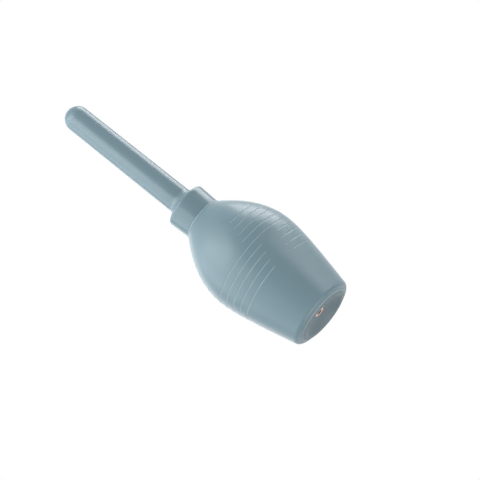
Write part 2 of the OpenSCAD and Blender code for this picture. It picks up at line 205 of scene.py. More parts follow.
class DoucheValve(PropertyGroup):
    """Sizes of the air inlet."""

    head: length("Head radius", "Radius of the head in the base", 4 * MM)
    head_edge: length("Head edge", "Radius of the head's rounded edge", 0.7 * MM)
    head_height: length("Head height", "Height of the head", 0.9 * MM)
    hole: length("Hole radius", "Radius of the air hole", 1.3 * MM)
    mouth: length("Mouth radius", "Radius of the countersunk mouth", 1.95 * MM)
    sink: length("Countersink", "Depth of the countersunk mouth", 0.75 * MM)
    chamber: length("Chamber radius", "Radius of the ball's chamber", 2.6 * MM)
    floor: length("Chamber floor", "Height of the chamber's floor", 2.7 * MM)
    shank: length("Shank radius", "Outer radius of the threaded shank", 3.5 * MM)
    pitch: length("Pitch", "Rise of the shank's thread in one turn", 0.75 * MM)
    thread: length("Thread depth", "Depth of the shank's thread", 0.3 * MM)
    wire: length("Wire", "Radius of the spring's wire", 0.2 * MM)
    coil: length("Coil", "Radius of the spring, to the wire's middle", 1.45 * MM)
    coils: FloatProperty(name="Coils", description="Turns of the spring", default=4.5, min=2)
    closed: FloatProperty(name="Closed coils", description="Turns closed at each end",
                          default=0.75, min=0, max=1)


class DoucheFinish(PropertyGroup):
    """Colours of the finishes."""

    elastomer: colour("Elastomer", "Soft blue-grey skin of the bulb", "#75909B")
    # Painted highlight: a paler tone in the grip lines, on the lip and round the plug's rim, where
    # those edges catch the light.
    painted_highlight: colour("Chalk", "Paler skin in grip lines, on the lip and on the rubbed rim", "#A6BBC2")
    shell: colour("Shell", "Satin blue-grey plastic of nozzle and collar", "#75909B")
    plug: colour("Plug", "Matt blue-grey plastic of the base plug", "#72848C")
    polypropylene: colour("Bush", "Natural polypropylene of the neck bush", "#D2D4CF")
    silicone: colour("Seals", "Black silicone of the seals", "#2B2E31")
    plating: colour("Plating", "Rose-gold plating of the valve", "#DDB0A0")
    # Painted shade: a dark tone in the valve's bore and its countersunk mouth, where shade falls in
    # the hole.
    painted_shade: colour("Stain", "Tarnish in the valve's bore", "#3B2A25")
    brass: colour("Brass", "Plain brass of nut and cap", "#D9B26A")
    steel: colour("Steel", "Stainless steel of ball and spring", "#C9CACC")
    floor: colour("Floor", "Pale floor", "#F4F4F2")


class DoucheStage(PropertyGroup):
    """Camera and lamps."""

    lens: FloatProperty(name="Lens", description="Focal length", default=450,
                        subtype="DISTANCE_CAMERA")
    distance: length("Distance", "Distance of the camera", 3.8112)
    elevation: degrees("Elevation", "Height angle of the camera, negative from below", -15.76)
    roll: degrees("Roll", "Angle of the object's axis across the picture", 38.6)
    aim: length("Aim", "Height on the axis that is placed in the picture", 59.08 * MM)
    right: length("Right", "Distance of that point right of the picture's middle", 8.893 * MM)
    down: length("Down", "Distance of that point below the picture's middle", 12.63 * MM)
    key: power("Key", "Softbox on the right", 6.2)
    flank: power("Flank", "Low softbox on the right", 1.2)
    fill: power("Fill", "Wide softbox on the left", 19.3)
    front: power("Front", "Small low softbox in front", 1.8)
    below: power("Below", "Wide softbox under the base", 4.5)
    crown: power("Crown", "Softbox near the nozzle", 1.7)
    back: power("Back", "Wide softbox behind", 4.5)
    surround: FloatProperty(name="Surround", description="Strength of the light from all sides",
                            default=0.185, min=0, max=1)


# Shapes: outlines in the plane of radius and height, and grids of points


def smooth(share):
    """Soft step 3t^2 - 2t^3 of a share that is held between 0 and 1."""
    share = np.clip(share, 0, 1)
    return share * share * (3 - 2 * share)


def arc(radius, height, size, start, end, steps=8):
    """Points (radius + size cos, height + size sin, 0) of a circle round a centre.

    Their angle goes in even steps between two values in degrees.
    """
    angle = np.radians(np.linspace(start, end, steps + 1))
    return np.column_stack([radius + size * np.cos(angle), height + size * np.sin(angle),
                            0 * angle])


def line(start, end, steps):
    """Points (radius, height, 0) spaced evenly on a straight line, both ends included."""
    return np.linspace((*start, 0), (*end, 0), steps + 1)


def outline(*parts, steps=4):
    """Closed outline from rows of radius, height and rounding.

    Each corner is bridged by the arc that is tangent to both of its sides. It starts and ends at
    rounding / tan(half the corner's angle) from the corner, and its points are spread by equal
    angles. The outline runs counter-clockwise, so that revolved faces point outwards.
    """
    corner = np.vstack([np.atleast_2d(part) for part in parts])
    point, rounding = corner[:, :2], corner[:, 2:]
    back = np.roll(point, 1, 0) - point
    ahead = np.roll(point, -1, 0) - point
    back /= np.linalg.norm(back, axis=1, keepdims=True)
    ahead /= np.linalg.norm(ahead, axis=1, keepdims=True)
    turn = np.pi - np.arccos(np.clip((back * ahead).sum(1, keepdims=True), -1, 1))
    reach = rounding * np.tan(turn / 2)
    start, end = point + back * reach, point + ahead * reach
    inward = (start + end) / 2 - point
    centre = point + inward / np.maximum(np.sin(turn / 2) ** 2, 1e-9)
    centre = np.where(rounding > 0, centre, point)
    share = np.linspace(0, 1, steps + 1)[None, :, None]
    angle = np.maximum(turn, 1e-6)[:, :, None]
    curve = centre[:, None] + (np.sin((1 - share) * angle) * (start - centre)[:, None]
                               + np.sin(share * angle) * (end - centre)[:, None]) / np.sin(angle)
    curve = np.where(rounding[:, :, None] > 0, curve, point[:, None]).reshape(-1, 2)
    # Of points that fall together only one is kept.
    curve = curve[np.linalg.norm(curve - np.roll(curve, 1, 0), axis=1) > 1e-7]
    ahead = np.roll(curve, -1, 0)
    area = (curve[:, 0] * ahead[:, 1] - ahead[:, 0] * curve[:, 1]).sum()
    return curve if area > 0 else curve[::-1]


def polar(curve, segments):
    """Grids of radius, height and angle: an outline (radius, height) carried round the Z axis."""
    angle = np.linspace(0, 2 * np.pi, segments, endpoint=False)[None]
    radius, height = curve[:, :1] + 0 * angle, curve[:, 1:] + 0 * angle
    return radius, height, angle + 0 * radius


def turned(radius, height, angle, lift=0.0):
    """Points whose X and Y are radius times cosine and sine of angle, and Z is height plus lift."""
    return np.stack([radius * np.cos(angle), radius * np.sin(angle), height + lift], axis=-1)


def quads(rows, columns, closed_rows=True):
    """Corners of the faces between neighbours in a grid.

    The columns wrap round, and so do the rows if they are closed.
    """
    index = np.arange(rows * columns).reshape(rows, columns)
    above = np.roll(index, -1, 0)
    faces = np.stack([index, np.roll(index, -1, 1), np.roll(above, -1, 1), above], axis=-1)
    return (faces if closed_rows else faces[:-1]).reshape(-1, 4)


def grid_piece(name, points, closed_rows=True, sharp=35, cut=None):
    """New mesh object from a grid of points. Edges that bend more than sharp degrees stay crisp.

    The share kept with the points as an attribute that materials read goes from 0, the plain skin,
    to 1 where light or shade is painted: a painted highlight in a grip line, on the lip or round
    the plug's rim, and painted shade in the valve's bore.
    """
    faces = quads(points.shape[0], points.shape[1], closed_rows)
    mesh = bpy.data.meshes.new(name)
    mesh.vertices.add(points.shape[0] * points.shape[1])
    mesh.vertices.foreach_set("co", points.astype(np.float32).ravel())
    mesh.loops.add(faces.size)
    mesh.loops.foreach_set("vertex_index", faces.astype(np.int32).ravel())
    mesh.polygons.add(len(faces))
    mesh.polygons.foreach_set("loop_start", np.arange(0, faces.size, 4, dtype=np.int32))
    mesh.update(calc_edges=True)
    mesh.validate()
    mesh.shade_smooth()
    mesh.set_sharp_from_angle(angle=np.radians(sharp))
    if cut is not None:
        share = mesh.attributes.new("cut", "FLOAT", "POINT")
        share.data.foreach_set("value", cut.astype(np.float32).ravel())
    piece = bpy.data.objects.new(name, mesh)
    bpy.context.scene.collection.objects.link(piece)
    return piece


def weld(piece):
    """Merges points less than 0.001 mm apart, such as a ring that has shrunk to a point."""
    mesh = bmesh.new()
    mesh.from_mesh(piece.data)
    bmesh.ops.remove_doubles(mesh, verts=mesh.verts, dist=0.001 * MM)
    mesh.to_mesh(piece.data)
    mesh.free()


def dress(piece, body, node, finish):
    """The piece gets its material, stands for a CAD node and moves with a body."""
    piece.data.materials.append(finish)
    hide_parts(node)
    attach(piece, body)


def dress_node(name, finish):
    """A CAD node whose shape is right keeps its mesh and gets a better material."""
    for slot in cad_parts[name].material_slots:
        slot.material = finish


def side_radius(bulb, height):
    """Outer radius of the bulb.

    Above the widest place it falls with the square of the distance. Below it falls as
    sqrt(bend^2 + s^2) - bend, where s is the share of the way to the rounded edge. That starts
    flat and becomes a straight cone.
    """
    up = (height - bulb.widest) / (BULB_H - bulb.widest)
    down = (bulb.widest - height) / (bulb.widest - bulb.edge)
    fall = (np.hypot(bulb.bend, down) - bulb.bend) / (np.hypot(bulb.bend, 1) - bulb.bend)
    return np.where(up > 0, bulb.radius - (bulb.radius - bulb.lip_radius) * up ** 2,
                    bulb.radius - (bulb.radius - bulb.base_radius) * fall)


def side_slope(bulb, height):
    """Change of the outer radius with height, from two points 0.02 mm apart."""
    step = 0.01 * MM
    return (side_radius(bulb, height + step) - side_radius(bulb, height - step)) / (2 * step)


def grip_depth(bulb, height, angle):
    """Depth of the grip lines at each point.

    Across a line the depth is a raised cosine of the line's width. Along it the depth is full
    inside the line's stretch of angle and fades at both ends. The lines come in two like halves,
    and each row starts a little later or earlier than its neighbour, so the ends form slanted
    borders.
    """
    rows = np.arange(-bulb.line_rows, bulb.line_rows + 1)
    place = bulb.line_height + rows * bulb.line_pitch
    start = np.where(rows > 0, bulb.short_start + bulb.short_slant * (rows - 1),
                     bulb.gap_start + bulb.gap_slant * (rows + 1) + bulb.gap_arc)
    sweep = np.where(rows > 0, bulb.short_arc, np.pi - bulb.gap_arc)
    depth = np.zeros_like(height)
    for row, z, first, arc_length in zip(rows, place, start, sweep):
        across = np.clip(np.abs(height - z) / (bulb.line_width / 2), 0, 1)
        along = np.mod(angle - first, np.pi)
        ends = np.minimum(along, arc_length - along) / bulb.line_fade
        share = 1 if row == 0 else smooth(ends)
        depth = np.maximum(depth, bulb.line_depth * share * 0.5 * (1 + np.cos(np.pi * across)))
    return depth


def thread_share(height, angle, pitch, flat, first, last=np.inf):
    """Share from 0 to 1 of a right-handed thread's full depth.

    The turn count q = height / pitch - angle / 360 degrees is whole on the crests, so its fraction
    gives the place across the thread. The share is 1 within flat of the middle of the groove and
    falls to 0 over a straight flank, both in half pitches. It fades in over an eighth of a turn
    from the first turn, and out before the last.
    """
    flank, fade = 0.4, 1 / 8
    count = height / pitch - angle / (2 * np.pi)
    across = np.abs(np.mod(count, 1) - 0.5) * 2
    along = np.floor(count) + angle / (2 * np.pi)
    ends = smooth((along - first) / fade) * smooth((last - along) / fade)
    return np.clip((flat + flank - across) / flank, 0, 1) * ends


def spring_points(valve, low, high, steps=144, sides=12):
    """Grid of points of a spring: rings of a round wire carried along a helix.

    The middle of the wire is at the coil's radius. It rises by 2.2 wire radii a turn in the closed
    coils at both ends, and the coils between share the rest of the height evenly. The first and
    the last ring shrink to a point, which closes the wire. The rings run backwards, so that the
    faces point outwards.
    """
    turns, closed, lay = valve.coils, valve.closed, 2.2 * valve.wire
    count = np.linspace(0, turns, steps + 1)[:, None]
    middle = (high - low - 2 * closed * lay) / (turns - 2 * closed)
    rise = np.where(count < closed, count * lay, closed * lay + (count - closed) * middle)
    rise = np.where(count > turns - closed, high - low - (turns - count) * lay, rise)
    wire = np.full_like(count, valve.wire)
    wire[[0, -1]] = 0
    ring = np.linspace(2 * np.pi, 0, sides, endpoint=False)
    return turned(valve.coil + wire * np.cos(ring), low + rise + wire * np.sin(ring),
                  2 * np.pi * count)


# Materials


def add(tree, kind, inputs=None, **settings):
    """Adds a node. inputs gives a value or another node's output socket for each named input."""
    new = tree.nodes.new(kind)
    for key, value in settings.items():
        setattr(new, key, value)
    for key, value in (inputs or {}).items():
        if isinstance(value, bpy.types.NodeSocket):
            tree.links.new(value, new.inputs[key])
        else:
            new.inputs[key].default_value = value
    return new


def material(name):
    """New empty node material, and the object coordinates that its patterns read."""
    made = bpy.data.materials.new(name)
    made.use_nodes = True
    tree = made.node_tree
    tree.nodes.clear()
    return made, tree, add(tree, "ShaderNodeTexCoord").outputs["Object"]


def shades(base, spread):
    """Two colours, a spread darker and a spread lighter than the base."""
    return [(*(min(c * side, 1) for c in base), 1) for side in (1 - spread, 1 + spread)]


def where_cut(tree, tone, gloss, other_tone, other_gloss):
    """Colour and roughness that turn into painted light or shade as the piece's share goes to 1."""
    cut = add(tree, "ShaderNodeAttribute", attribute_name="cut").outputs["Fac"]
    tone = add(tree, "ShaderNodeMix", {"Factor": cut, "A": tone, "B": (*other_tone, 1)},
               data_type="RGBA")
    gloss = add(tree, "ShaderNodeMix", {"Factor": cut, "A": gloss, "B": other_gloss})
    return tone.outputs[2], gloss.outputs[0]


def moulded(name, base, roughness, grain, grain_height, mottle, painted_highlight=None):
    """Moulded plastic or elastomer.

    A soft cloud of two close shades and of roughness, as in flowed and cooled plastic, lies over
    the even grain that the eroded or blasted mould leaves. grain is its size and grain_height its
    relief. A mould's real grain is about 0.1 mm, and is drawn four to six times as coarse so
    that it shows. With a colour for painted highlights the skin is painted paler, and made matt,
    where the piece's share of painted light rises.
    """
    flow, spread, matt = 9 * MM, 0.03, 0.5
    made, tree, place = material(name)
    dark, light = shades(base, mottle)
    cloud = add(tree, "ShaderNodeTexNoise", {"Vector": place, "Scale": 1 / flow, "Detail": 3,
                                             "Roughness": 0.55})
    ramp = add(tree, "ShaderNodeMix", {"Factor": cloud.outputs["Fac"], "A": dark, "B": light},
               data_type="RGBA")
    gloss = add(tree, "ShaderNodeMapRange",
                {"Value": cloud.outputs["Fac"], "From Min": 0.3, "From Max": 0.7,
                 "To Min": roughness - spread, "To Max": roughness + spread})
    grains = add(tree, "ShaderNodeTexNoise", {"Vector": place, "Scale": 1 / grain, "Detail": 2,
                                              "Roughness": 0.6})
    bump = add(tree, "ShaderNodeBump", {"Height": grains.outputs["Fac"], "Strength": 1,
                                        "Distance": grain_height})
    tone, gloss = ramp.outputs[2], gloss.outputs["Result"]
    if painted_highlight is not None:
        tone, gloss = where_cut(tree, tone, gloss, painted_highlight, matt)
    shader = add(tree, "ShaderNodeBsdfPrincipled",
                 {"Base Color": tone, "Roughness": gloss, "Normal": bump.outputs["Normal"],
                  "IOR": 1.5})
    add(tree, "ShaderNodeOutputMaterial", {"Surface": shader.outputs["BSDF"]})
    return made


def turned_metal(name, base, roughness, mark_pitch, mark_height, painted_shade=None):
    """Metal turned on a lathe.

    The tool leaves fine rings round the axis: a sine of the distance from the axis plus the
    height, broken a little by noise, lifts the surface. The rings are drawn about three times as
    coarse as a fine turning pass leaves them, so that they show. A haze of two close shades varies
    the gloss by a fifth. With a colour for painted shade the surface is painted dark, and made
    dull, in the bore where shade falls.
    """
    haze_size, dull = 0.8 * MM, 0.6
    made, tree, place = material(name)
    split = add(tree, "ShaderNodeSeparateXYZ", {"Vector": place})
    flat = add(tree, "ShaderNodeCombineXYZ", {"X": split.outputs["X"], "Y": split.outputs["Y"]})
    reach = add(tree, "ShaderNodeVectorMath", {"Vector": flat.outputs["Vector"]},
                operation="LENGTH")
    path = add(tree, "ShaderNodeMath", {0: reach.outputs["Value"], 1: split.outputs["Z"]},
               operation="ADD")
    phase = add(tree, "ShaderNodeMath", {0: path.outputs["Value"], 1: 2 * np.pi / mark_pitch},
                operation="MULTIPLY")
    rings = add(tree, "ShaderNodeMath", {0: phase.outputs["Value"]}, operation="SINE")
    haze = add(tree, "ShaderNodeTexNoise", {"Vector": place, "Scale": 1 / haze_size, "Detail": 3})
    mixed = add(tree, "ShaderNodeMath", {0: rings.outputs["Value"], 1: haze.outputs["Fac"]},
                operation="MULTIPLY")
    bump = add(tree, "ShaderNodeBump", {"Height": mixed.outputs["Value"], "Strength": 1,
                                        "Distance": mark_height})
    gloss = add(tree, "ShaderNodeMapRange",
                {"Value": haze.outputs["Fac"], "From Min": 0.3, "From Max": 0.7,
                 "To Min": roughness * 0.8, "To Max": roughness * 1.2})
    dark, light = shades(base, 0.04)
    tone = add(tree, "ShaderNodeMix", {"Factor": haze.outputs["Fac"], "A": dark, "B": light},
               data_type="RGBA")
    tone, gloss = tone.outputs[2], gloss.outputs["Result"]
    if painted_shade is not None:
        tone, gloss = where_cut(tree, tone, gloss, painted_shade, dull)
    shader = add(tree, "ShaderNodeBsdfPrincipled",
                 {"Base Color": tone, "Metallic": 1, "Roughness": gloss,
                  "Normal": bump.outputs["Normal"]})
    add(tree, "ShaderNodeOutputMaterial", {"Surface": shader.outputs["BSDF"]})
    return made


def pale_floor(base):
    """Painted board, rolled matt white, whose nap of 2 mm breaks the light evenly.

    It is seen from above only and fades into the white background between 0.18 and 0.7 m from the
    object.
    """
    nap_size, nap_height = 2 * MM, 0.02 * MM
    fade_start, fade_end = 0.18, 0.7
    made, tree, place = material("rolled_matt_board")
    nap = add(tree, "ShaderNodeTexNoise", {"Vector": place, "Scale": 1 / nap_size, "Detail": 3})
    bump = add(tree, "ShaderNodeBump", {"Height": nap.outputs["Fac"], "Distance": nap_height})
    board = add(tree, "ShaderNodeBsdfDiffuse", {"Color": (*base, 1),
                                                "Normal": bump.outputs["Normal"]})
    reach = add(tree, "ShaderNodeVectorMath", {"Vector": place}, operation="LENGTH")
    far = add(tree, "ShaderNodeMapRange",
              {"Value": reach.outputs["Value"], "From Min": fade_start, "From Max": fade_end},
              interpolation_type="SMOOTHSTEP")
    below = add(tree, "ShaderNodeNewGeometry").outputs["Backfacing"]
    gone = add(tree, "ShaderNodeMath", {0: below, 1: far.outputs["Result"]}, operation="MAXIMUM")
    clear = add(tree, "ShaderNodeBsdfTransparent")
    mixed = add(tree, "ShaderNodeMixShader", {0: gone.outputs["Value"], 1: board.outputs["BSDF"],
                                              2: clear.outputs["BSDF"]})
    add(tree, "ShaderNodeOutputMaterial", {"Surface": mixed.outputs["Shader"]})
    return made


# Pieces


class DOUCHE_OT_bulb(Operator):
    """Make the soft bulb: an open shell with engraved grip lines and a straight lip, both with a
    painted highlight
    """

    bl_idname = "douche.bulb"
    bl_label = "Bulb"

    def execute(self, context):
        bulb, plug = context.scene.douche_bulb, context.scene.douche_plug
        neck, colours = context.scene.douche_neck, context.scene.douche_finish
        lean = np.arctan(side_slope(bulb, bulb.edge))
        edge_top = bulb.edge * (1 - np.sin(lean))
        edge_centre = side_radius(bulb, edge_top) - bulb.edge * np.cos(lean)

        # The side has rings of points across every grip line, a little past both of its borders.
        rows = bulb.line_height + bulb.line_pitch * np.arange(-bulb.line_rows, bulb.line_rows + 1)
        across = np.linspace(-0.55, 0.55, 13) * bulb.line_width
        height = np.unique(np.concatenate([np.linspace(edge_top, BULB_H - bulb.lip_band, 52),
                                           (rows[:, None] + across).ravel()]))
        side = np.column_stack([side_radius(bulb, height), height, 0 * height])

        # The cavity is the side moved inwards by the wall, measured at right angles to it.
        cuff_z, cavity_z = BULB_H - neck.cuff_depth, 7 * MM
        inner = np.linspace(cuff_z, cavity_z, 40)
        slant = np.hypot(1, side_slope(bulb, inner))
        cavity = np.column_stack([side_radius(bulb, inner) - bulb.wall * slant, inner, 0 * inner])

        # The pocket grips the plug's flange. Under it the seam follows the plug's rim, about
        # 0.1 mm away, so that it shows as one fine line.
        pocket_low, pocket_high = plug.flange_low - FIT, plug.flange_high + FIT
        pocket_r = PLUG_R + SNAP + FIT
        shelf_r = pocket_r - 2.95 * MM
        seam_low_r, seam_r = PLUG_R - 0.16 * MM, PLUG_R + 0.12 * MM
        lip_edge = 0.3 * MM
        curve = outline(
            [seam_low_r, 0, 0.08 * MM],
            arc(edge_centre, bulb.edge, bulb.edge, -90, -np.degrees(lean), 12),
            side,
            arc(side[-1, 0] - lip_edge, BULB_H - lip_edge, lip_edge, 0, 90),
            [neck.mouth, BULB_H, 0.2 * MM], [neck.mouth, BULB_H - neck.pocket_top, 0],
            [neck.pocket, BULB_H - neck.pocket_top, 0],
            [neck.pocket, BULB_H - neck.pocket_floor, 0],
            [neck.cuff, BULB_H - neck.pocket_floor, 0.3 * MM], [neck.cuff, cuff_z, 0.3 * MM],
            cavity,
            [shelf_r, cavity_z, 0.3 * MM], [shelf_r, pocket_high, 0.2 * MM],
            [pocket_r, pocket_high, 0.2 * MM], [pocket_r, pocket_low, 0.2 * MM],
            [seam_r, pocket_low, 0.1 * MM], [seam_r, 1 * MM, 0.2 * MM])

        # Lines are engraved in the outer side only. A painted highlight makes them paler, and the
        # lip nearly as pale, where their edges catch the light.
        radius, z, angle = polar(curve, 320)
        outside = (radius > side_radius(bulb, z) - 0.5 * MM) & (z > 5 * MM)
        lip = outside & (z > BULB_H - 0.9 * bulb.lip_band)
        depth = np.where(outside, grip_depth(bulb, z, angle), 0)
        piece = grid_piece("bulb_shell", turned(radius - depth, z, angle, lift=EDGE_Z),
                           cut=depth / bulb.line_depth + 0.9 * lip)

        # Soft rubbery skin: broad, mild highlights, and a painted highlight that makes the engraved
        # lines and the lip pale.
        skin = moulded("satin_moulded_elastomer", colours.elastomer, roughness=0.33,
                       grain=0.5 * MM, grain_height=0.002 * MM, mottle=0.02,
                       painted_highlight=colours.painted_highlight)
        dress(piece, "bulb_body", "bulb", skin)
        return {"FINISHED"}


class DOUCHE_OT_base_plug(Operator):
    """Make the disc that closes the base: a shallow bowl in a rounded rim that stands proud"""

    bl_idname = "douche.base_plug"
    bl_label = "Base plug"

    def execute(self, context):
        plug, colours = context.scene.douche_plug, context.scene.douche_finish
        rim_r, rim_z = PLUG_R - plug.rim, plug.rim - EDGE_Z
        top_z = PLUG_TOP_Z - EDGE_Z

        # The bowl's arc starts tangent to the flat middle and ends tangent to the rim's. Both turn
        # by the same angle, so tan(angle / 2) is their rise over their reach, and their radii add
        # up to the reach over sin(angle).
        reach = rim_r - plug.stand - plug.middle
        turn = 2 * np.arctan((plug.dish + EDGE_Z) / reach)
        bowl, turn = reach / np.sin(turn) - plug.rim, np.degrees(turn)
        curve = outline(
            [plug.hole, top_z, 0.1 * MM], [plug.hole, plug.dish, 0.1 * MM],
            arc(plug.middle, plug.dish - bowl, bowl, 90, 90 - turn, 24),
            arc(rim_r - plug.stand, rim_z, plug.rim, -90 - turn, -90, 12)[1:],
            arc(rim_r, rim_z, plug.rim, -90, 0, 24),
            [PLUG_R, plug.flange_low, 0.1 * MM], [PLUG_R + SNAP, plug.flange_low, 0.2 * MM],
            [PLUG_R + SNAP, plug.flange_high, 0.4 * MM],
            [PLUG_R - plug.wall, plug.flange_high, 0.1 * MM],
            [PLUG_R - plug.wall, top_z, 0.3 * MM])
        radius, z, angle = polar(curve, 256)
        # Painted highlight: the outer 1.2 mm of the rim is painted paler, where its rounded edge
        # catches the light.
        highlit_r, highlit_fade = PLUG_R - 1.2 * MM, 0.4 * MM
        highlit = smooth((radius - highlit_r) / highlit_fade)
        piece = grid_piece("base_plug_disc", turned(radius, z, angle, lift=EDGE_Z),
                           cut=0.7 * highlit)

        # Hard plastic from a blasted mould: flat, a shade greyer, and a painted highlight round its
        # rim.
        grey = moulded("matt_moulded_grey_abs", colours.plug, roughness=0.5,
                       grain=0.5 * MM, grain_height=0.006 * MM, mottle=0.02,
                       painted_highlight=colours.painted_highlight)
        dress(piece, "bulb_body", "base_plug", grey)
        return {"FINISHED"}


class DOUCHE_OT_neck(Operator):
    """Make the neck bush with its thread, and finish the seals"""

    bl_idname = "douche.neck"
    bl_label = "Neck bush and seals"

    def execute(self, context):
        neck, thread = context.scene.douche_neck, context.scene.douche_thread
        colours = context.scene.douche_finish
        flange_r, flange_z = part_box("neck_bush")[1].x, BUSH_Z + neck.flange
        chamfer, nick = 0.6 * MM, 0.05 * MM
        rim_z = BUSH_TOP_Z - chamfer
        curve = outline(
            [neck.bore, BUSH_Z, 0.3 * MM], [flange_r, BUSH_Z, 0.2 * MM],
            [flange_r, flange_z, 0.2 * MM], [neck.waist, flange_z, 0.1 * MM],
            [neck.waist, THREAD_Z, 0.1 * MM], [thread.radius, THREAD_Z, 0.15 * MM],
            line((thread.radius, THREAD_Z + 0.4 * MM), (thread.radius, rim_z), 72),
            line((thread.radius - nick, rim_z + nick),
                 (thread.radius - chamfer + nick, BUSH_TOP_Z - nick), 8),
            [thread.radius - chamfer, BUSH_TOP_Z, 0], [neck.bore, BUSH_TOP_Z, 0.3 * MM])
        radius, z, angle = polar(curve, 288)

        # The groove goes no deeper than the thread's root, also where the chamfer is.
        share = thread_share(z, angle, thread.pitch, flat=0.3, first=THREAD_Z / thread.pitch + 0.1)
        root_r = thread.radius - thread.depth
        groove = np.minimum(thread.depth * share, np.maximum(radius - root_r, 0))

        # Four key slots, a quarter turn apart, stop the bush from turning in the soft neck.
        offset = np.abs(np.mod(angle + np.pi / 4, np.pi / 2) - np.pi / 4) * flange_r
        key = neck.key_depth * smooth(1.5 - offset / neck.key_width)
        slot = np.where(radius > flange_r - 0.4 * MM, key, 0)
        points = turned(radius - np.where(z > THREAD_Z, groove, slot), z, angle)

        # Unpainted plastic: milky white and waxy, softer in its highlights than the shell.
        white = moulded("natural_moulded_polypropylene", colours.polypropylene,
                        roughness=0.38, grain=0.6 * MM, grain_height=0.004 * MM, mottle=0.02)
        # Black rubber: hardly a highlight, and a grain that looks dusty.
        black = moulded("moulded_silicone_rubber", colours.silicone, roughness=0.55,
                        grain=0.4 * MM, grain_height=0.006 * MM, mottle=0.06)
        dress(grid_piece("neck_bush_thread", points), "bulb_body", "neck_bush",
              white)
        for name in ("nozzle_gasket", "valve_washer", "valve_seat"):
            dress_node(name, black)
        return {"FINISHED"}


class DOUCHE_OT_collar(Operator):
    """Make the screw collar, with the thread in its bore that runs in the bush's"""

    bl_idname = "douche.collar"
    bl_label = "Collar"

    def execute(self, context):
        collar, thread = context.scene.douche_collar, context.scene.douche_thread
        slope = (collar.front - collar.rear) / (COLLAR_FRONT_Z - COLLAR_Z)
        side_low, side_high = 1.5 * MM, 3 * MM
        bore_r = thread.radius + thread.clearance
        ceiling_z = COLLAR_FRONT_Z - collar.face
        curve = outline(
            [bore_r, COLLAR_Z, 0.2 * MM], [collar.rear, COLLAR_Z, 0.3 * MM],
            line((collar.rear + slope * side_low, COLLAR_Z + side_low),
                 (collar.front - slope * side_high, COLLAR_FRONT_Z - side_high), 6),
            [collar.front, COLLAR_FRONT_Z, collar.rounding],
            [collar.mouth, COLLAR_FRONT_Z, 0.3 * MM], [collar.mouth, ceiling_z, 0.1 * MM],
            [bore_r, ceiling_z, 0.1 * MM],
            line((bore_r, ceiling_z - 0.5 * MM), (bore_r, COLLAR_Z + 0.5 * MM), 96), steps=8)
        radius, z, angle = polar(curve, 288)

        # The ridge is narrower than the bush's groove, and starts later by a part of a turn.
        first = THREAD_Z / thread.pitch + 0.4
        share = thread_share(z, angle, thread.pitch, flat=0.18, first=first, last=first + 2.7)
        ridge = np.where(radius < bore_r + 0.02 * MM, thread.depth * share, 0)

        # Hard plastic from a nearly polished mould: narrower, clearer highlights than the bulb's.
        satin = moulded("satin_moulded_abs", context.scene.douche_finish.shell,
                        roughness=0.21, grain=0.5 * MM, grain_height=0.0015 * MM, mottle=0.015)
        dress(grid_piece("collar_ring", turned(radius - ridge, z, angle)), "collar_body",
              "collar", satin)
        return {"FINISHED"}


class DOUCHE_OT_nozzle(Operator):
    """Make the hollow nozzle: pilot, clamped flange, flared root, tapering tube and round tip"""

    bl_idname = "douche.nozzle"
    bl_label = "Nozzle"

    def execute(self, context):
        nozzle, collar = context.scene.douche_nozzle, context.scene.douche_collar

        # The flare is an arc that ends tangent to the tube.
        rise = nozzle.foot - nozzle.root
        flare_r = (nozzle.flare ** 2 + rise ** 2) / (2 * rise)
        flare_turn = np.degrees(np.arcsin(nozzle.flare / flare_r))
        flare_z = COLLAR_FRONT_Z + nozzle.flare
        flange_z = COLLAR_FRONT_Z - collar.face - FIT

        # The outlet cuts the top off the tip's sphere, whose middle lies at this height.
        mouth_r, mouth_z = nozzle.outlet + nozzle.outlet_edge, NOZZLE_TIP_Z - nozzle.outlet_edge
        centre_z = NOZZLE_TIP_Z - np.sqrt(nozzle.tip ** 2 - mouth_r ** 2)
        mouth = np.degrees(np.arccos(mouth_r / nozzle.tip))
        inside = np.degrees(np.arccos(nozzle.outlet / nozzle.channel))
        curve = outline(
            [nozzle.channel, NOZZLE_Z, 0.3 * MM], [nozzle.pilot, NOZZLE_Z, 0.5 * MM],
            [nozzle.pilot, GASKET_TOP_Z, 0], [nozzle.flange, GASKET_TOP_Z, 0.15 * MM],
            [nozzle.flange, flange_z, 0.15 * MM], [nozzle.foot, flange_z, 0],
            arc(nozzle.root + flare_r, flare_z, flare_r, 180 + flare_turn, 180, 20),
            line((nozzle.root, flare_z), (nozzle.tip, centre_z), 60)[1:-1],
            arc(0, centre_z, nozzle.tip, 0, mouth, 28),
            arc(mouth_r, mouth_z, nozzle.outlet_edge, 90, 180, 5)[1:],
            arc(0, centre_z, nozzle.channel, inside, 0, 12),
            line((nozzle.channel, centre_z), (nozzle.channel, NOZZLE_Z), 20)[1:-1])

        # The collar's plastic, smoother still: one long clear highlight along the tube.
        satin = moulded("satin_moulded_nozzle_abs", context.scene.douche_finish.shell,
                        roughness=0.22, grain=0.5 * MM, grain_height=0.0003 * MM, mottle=0.015)
        dress(grid_piece("nozzle_tube", turned(*polar(curve, 192))), "nozzle_body", "nozzle",
              satin)
        return {"FINISHED"}


